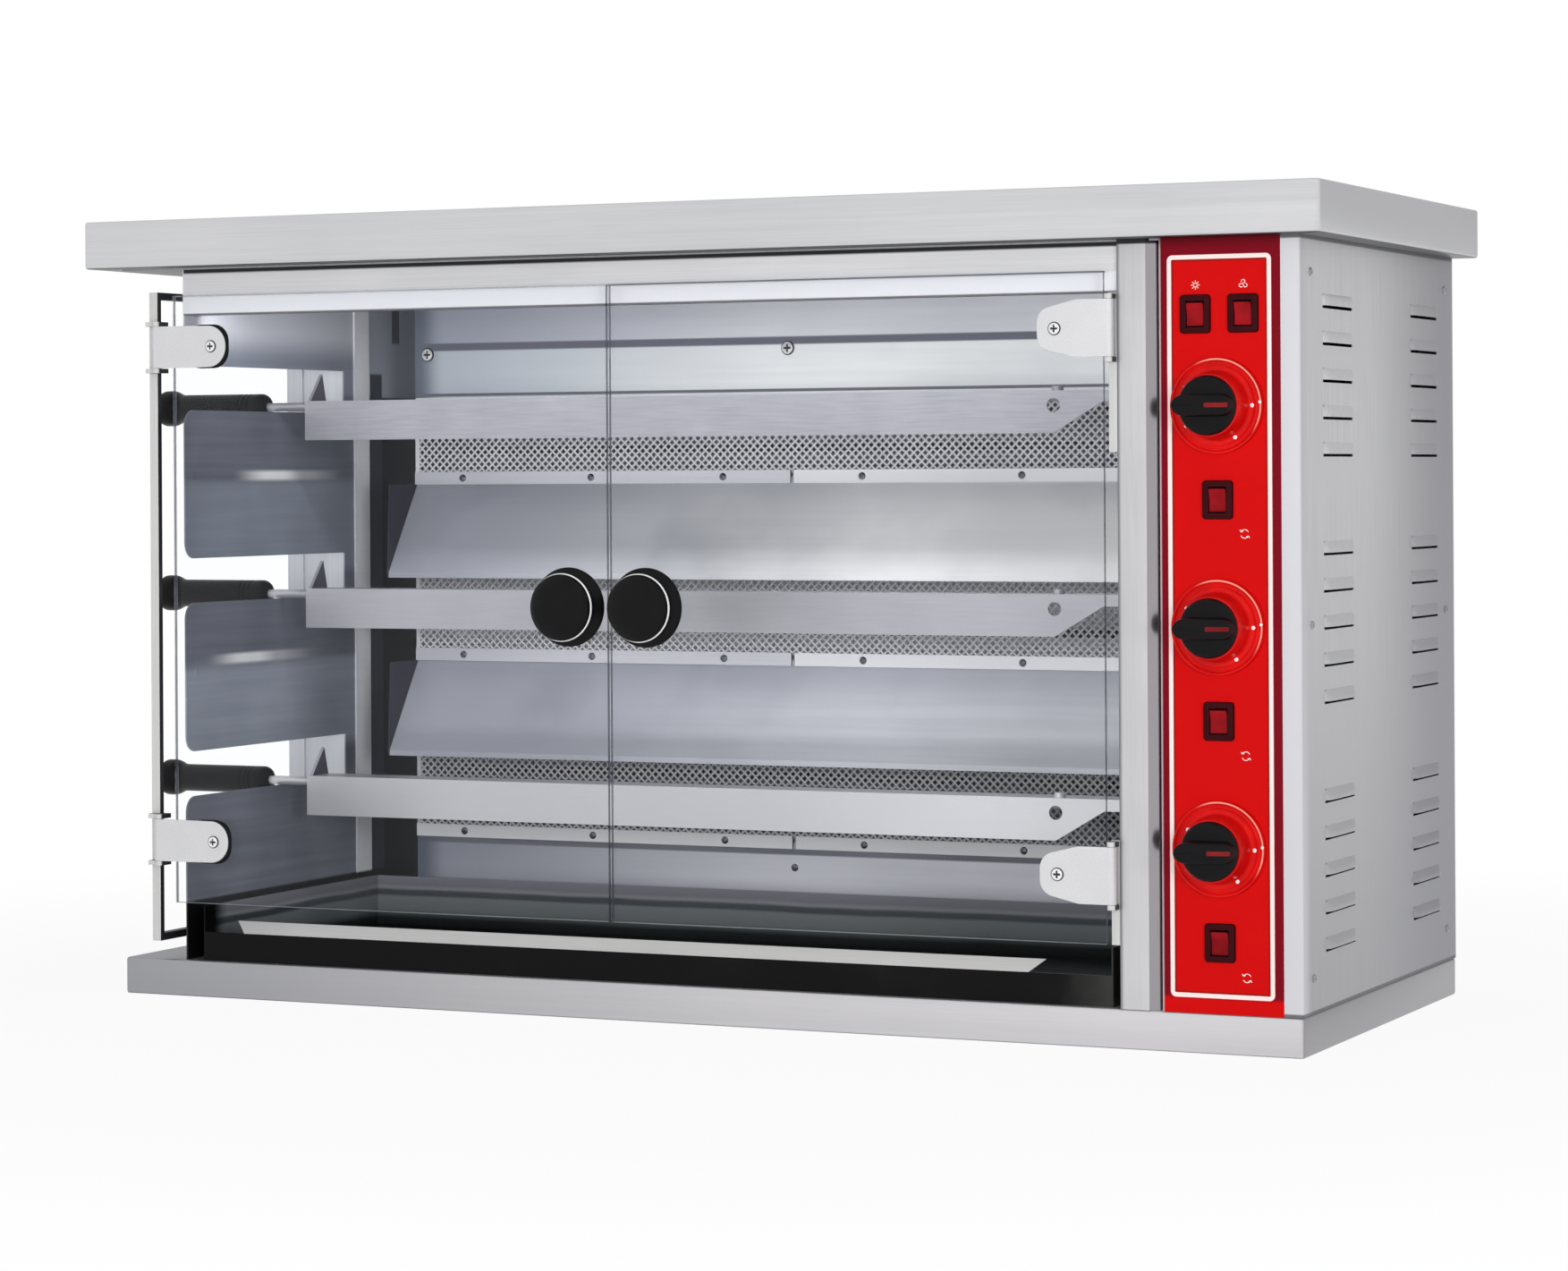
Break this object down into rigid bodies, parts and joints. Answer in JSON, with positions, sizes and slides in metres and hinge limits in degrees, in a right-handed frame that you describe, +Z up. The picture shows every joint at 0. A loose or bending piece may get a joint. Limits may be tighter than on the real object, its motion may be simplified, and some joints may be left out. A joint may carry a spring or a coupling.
{
  "type": "electric rotisserie",
  "caption": "Countertop rotisserie oven: steel cabinet with hinged glass doors, motor-driven spits, rear heaters behind mesh, drip tray, side louvres and a red control panel.",
  "frame": {"origin": "middle of the base's flat underside, under the plinth's centre", "axes": "+Z up, +X towards the control panel's side, -Y out of the glass doors at the front"},
  "size_m": [1.188, 0.5089, 0.69],
  "materials": {
    "stainless": "brushed stainless sheet",
    "liner": "plain mill-finish steel sheet",
    "mesh": "wire mesh, heat-dulled",
    "spit_steel": "satin stainless",
    "bright_steel": "bright plated fasteners",
    "red_panel": "gloss red enamel",
    "red_plastic": "red moulded dial",
    "black_plastic": "black moulded phenolic",
    "rocker_red": "translucent red rocker",
    "switch_black": "dark moulded bezel",
    "door_glass": "clear tempered glass",
    "enamel_black": "black baked enamel",
    "element": "heat-darkened sheath",
    "motor_grey": "grey cast gear case",
    "bearing_bronze": "sintered bronze bush",
    "ceramic": "pale insulating block",
    "lamp_glass": "frosted lamp tube"
  },
  "bodies": {
    "cabinet": {"base_plinth": "stainless", "base_bottom_plate": "liner", "top_hood": "stainless", "ceiling_panel": "liner", "left_wall": "liner", "left_rear_casing": "stainless", "back_panel": "stainless", "right_inner_wall": "liner", "right_side_panel": "stainless", "front_column": "stainless", "control_panel": "red_panel", "front_header": "stainless", "left_hinge_stile": "stainless", "lamp_housing": "ceramic", "lamp_tube": "lamp_glass", "fan_frame": "black_plastic", "terminal_block": "ceramic", "cable_gland": "black_plastic", "rear_liner": "liner", "heater_frame": "liner", "heater_boxes": "liner", "heating_elements": "element", "heater_guards": "mesh", "heater_trims": "stainless", "deflectors": "liner", "drive_bearings": "bearing_bronze", "gear_motors": "motor_grey", "right_hinge_brackets": "stainless", "control_dials": "red_plastic", "regulators": "ceramic", "switch_housings": "switch_black", "casing_screws": "bright_steel"},
    "left_door": {"left_door_glass": "door_glass", "left_door_knob": "black_plastic", "left_door_hinge_plates": "stainless", "left_door_fixings": "bright_steel"},
    "right_door": {"right_door_glass": "door_glass", "right_door_knob": "black_plastic", "right_door_hinge_plates": "stainless", "right_door_fixings": "bright_steel"},
    "drive_1": {"drive_coupling_1": "spit_steel"},
    "spit_1": {"spit_1": "spit_steel", "spit_handle_1": "black_plastic"},
    "knob_1": {"control_knob_1": "black_plastic"},
    "drive_2": {"drive_coupling_2": "spit_steel"},
    "spit_2": {"spit_2": "spit_steel", "spit_handle_2": "black_plastic"},
    "knob_2": {"control_knob_2": "black_plastic"},
    "drive_3": {"drive_coupling_3": "spit_steel"},
    "spit_3": {"spit_3": "spit_steel", "spit_handle_3": "black_plastic"},
    "knob_3": {"control_knob_3": "black_plastic"},
    "light_switch": {"rocker_light": "rocker_red"},
    "fan_switch": {"rocker_fan": "rocker_red"},
    "rotation_switch_1": {"rocker_rotation_1": "rocker_red"},
    "rotation_switch_2": {"rocker_rotation_2": "rocker_red"},
    "rotation_switch_3": {"rocker_rotation_3": "rocker_red"},
    "fan": {"fan_rotor": "black_plastic"},
    "tray": {"drip_tray": "enamel_black", "drip_tray_lip": "stainless"}
  },
  "joints": [
    {"name": "left_door_hinge", "type": "hinge", "parent": "cabinet", "child": "left_door", "pos_m": [-0.509, -0.226, 0.3585], "axis": [0, 0, -1], "range_deg": [0, 120]},
    {"name": "right_door_hinge", "type": "hinge", "parent": "cabinet", "child": "right_door", "pos_m": [0.3925, -0.226, 0.3585], "axis": [0, 0, 1], "range_deg": [0, 120]},
    {"name": "spit_spin_1", "type": "hinge", "parent": "cabinet", "child": "drive_1", "pos_m": [0.397, -0.06, 0.526], "axis": [1, 0, 0], "continuous": true},
    {"name": "spit_draw_1", "type": "slide", "parent": "drive_1", "child": "spit_1", "axis": [-1, 0, 0], "range_m": [0, 0.028]},
    {"name": "spit_spin_2", "type": "hinge", "parent": "cabinet", "child": "drive_2", "pos_m": [0.397, -0.06, 0.3535], "axis": [1, 0, 0], "continuous": true},
    {"name": "spit_draw_2", "type": "slide", "parent": "drive_2", "child": "spit_2", "axis": [-1, 0, 0], "range_m": [0, 0.028]},
    {"name": "spit_spin_3", "type": "hinge", "parent": "cabinet", "child": "drive_3", "pos_m": [0.397, -0.06, 0.181], "axis": [1, 0, 0], "continuous": true},
    {"name": "spit_draw_3", "type": "slide", "parent": "drive_3", "child": "spit_3", "axis": [-1, 0, 0], "range_m": [0, 0.028]},
    {"name": "knob_turn_1", "type": "hinge", "parent": "cabinet", "child": "knob_1", "pos_m": [0.4815, -0.22, 0.514], "axis": [0, 1, 0], "range_deg": [0, 270]},
    {"name": "knob_turn_2", "type": "hinge", "parent": "cabinet", "child": "knob_2", "pos_m": [0.4815, -0.22, 0.3385], "axis": [0, 1, 0], "range_deg": [0, 270]},
    {"name": "knob_turn_3", "type": "hinge", "parent": "cabinet", "child": "knob_3", "pos_m": [0.4815, -0.22, 0.163], "axis": [0, 1, 0], "range_deg": [0, 270]},
    {"name": "light_switch_rock", "type": "hinge", "parent": "cabinet", "child": "light_switch", "pos_m": [0.46365, -0.22, 0.587], "axis": [-1, 0, 0], "range_deg": [0, 16]},
    {"name": "fan_switch_rock", "type": "hinge", "parent": "cabinet", "child": "fan_switch", "pos_m": [0.50335, -0.22, 0.587], "axis": [-1, 0, 0], "range_deg": [0, 16]},
    {"name": "rotation_switch_1_rock", "type": "hinge", "parent": "cabinet", "child": "rotation_switch_1", "pos_m": [0.4815, -0.22, 0.4395], "axis": [-1, 0, 0], "range_deg": [0, 16]},
    {"name": "rotation_switch_2_rock", "type": "hinge", "parent": "cabinet", "child": "rotation_switch_2", "pos_m": [0.4815, -0.22, 0.264], "axis": [-1, 0, 0], "range_deg": [0, 16]},
    {"name": "rotation_switch_3_rock", "type": "hinge", "parent": "cabinet", "child": "rotation_switch_3", "pos_m": [0.4815, -0.22, 0.0885], "axis": [-1, 0, 0], "range_deg": [0, 16]},
    {"name": "fan_spin", "type": "hinge", "parent": "cabinet", "child": "fan", "pos_m": [0.4735, 0.205, 0.56], "axis": [0, 1, 0], "continuous": true},
    {"name": "tray_slide", "type": "slide", "parent": "cabinet", "child": "tray", "axis": [0, -1, 0], "range_m": [0, 0.28]}
  ]
}
